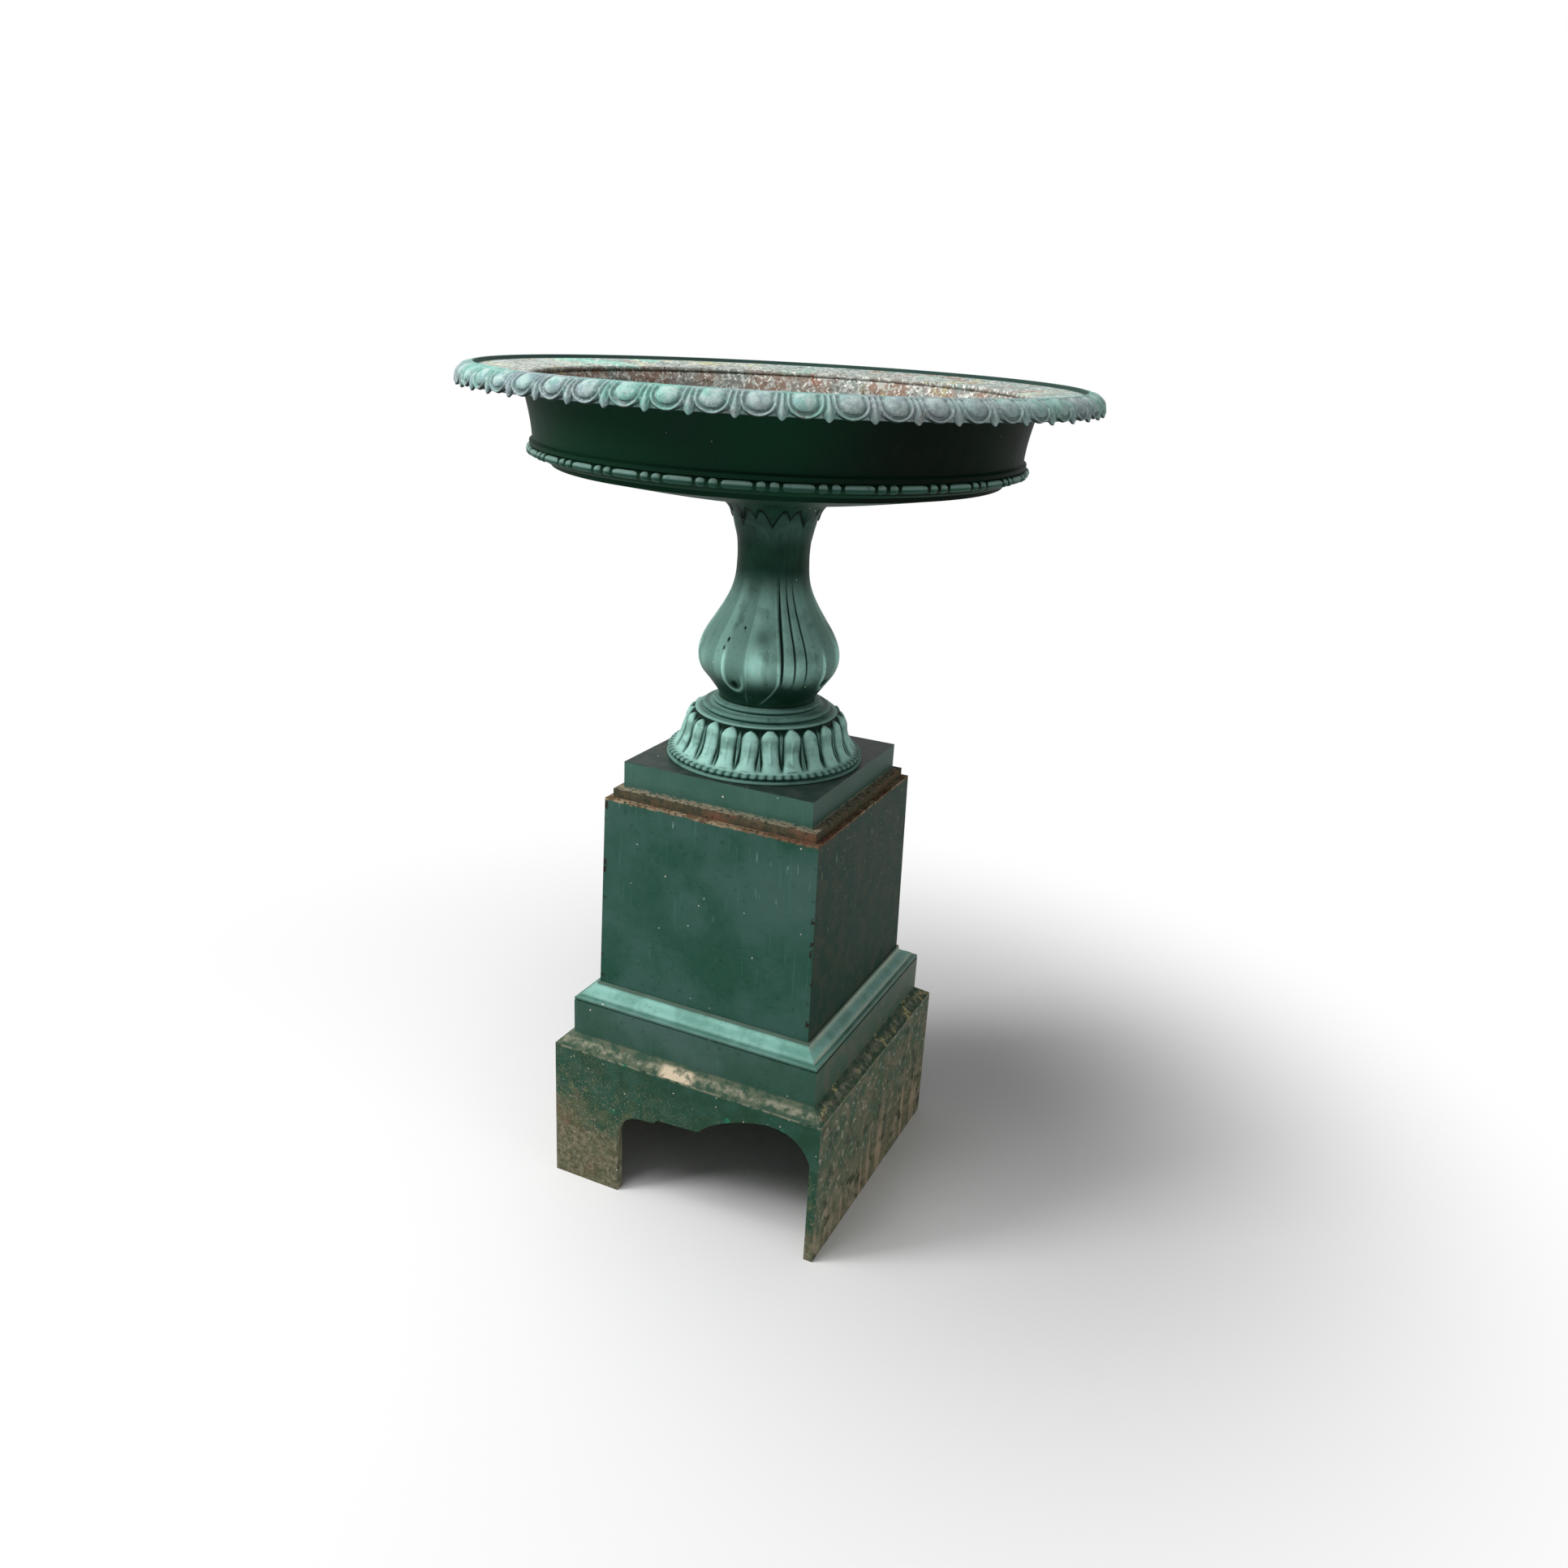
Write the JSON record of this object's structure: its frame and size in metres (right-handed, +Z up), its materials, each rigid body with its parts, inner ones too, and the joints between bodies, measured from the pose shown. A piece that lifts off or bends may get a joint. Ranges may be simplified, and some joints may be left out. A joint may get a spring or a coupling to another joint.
{
  "type": "tazza planter",
  "caption": "Cast iron garden tazza: a shallow bowl with an egg and dart rim on a baluster stem, standing free on a hollow square pedestal with a shaped front opening.",
  "frame": {"origin": "centre of the pedestal's square footprint, on the ground", "axes": "-Y towards the front with the opening, +X towards the object's plain side on the right in the picture, +Z up"},
  "size_m": [0.8902, 0.8908, 1.256],
  "materials": {
    "green_paint": "weathered satin paint on cast iron",
    "rim_paint": "worn pale paint with verdigris, rust and lichen",
    "rusty_iron": "bare, rusted",
    "zinc_steel": "dull zinc, stained"
  },
  "bodies": {
    "pedestal": {"plinth_front": "green_paint", "plinth_right": "green_paint", "plinth_back": "green_paint", "plinth_left": "green_paint", "plinth_brackets": "rusty_iron", "plinth_bolts": "zinc_steel", "base_moulding": "green_paint", "die_front": "green_paint", "die_right": "green_paint", "die_back": "green_paint", "die_left": "green_paint", "die_brackets_lower": "rusty_iron", "die_brackets_upper": "rusty_iron", "die_bolts": "zinc_steel", "top_plate": "rusty_iron", "top_plate_screws": "zinc_steel"},
    "tazza": {"foot_plate": "green_paint", "socle": "green_paint", "stem": "green_paint", "leaf_collar": "green_paint", "bowl": "green_paint", "rim_ring": "rim_paint", "rim_screws": "zinc_steel", "tie_rod": "zinc_steel", "rod_washers": "zinc_steel", "rod_nuts": "zinc_steel"}
  },
  "joints": [
    {"name": "tazza_lift", "type": "slide", "parent": "pedestal", "child": "tazza", "axis": [0, 0, 1], "range_m": [0, 0.15]}
  ]
}
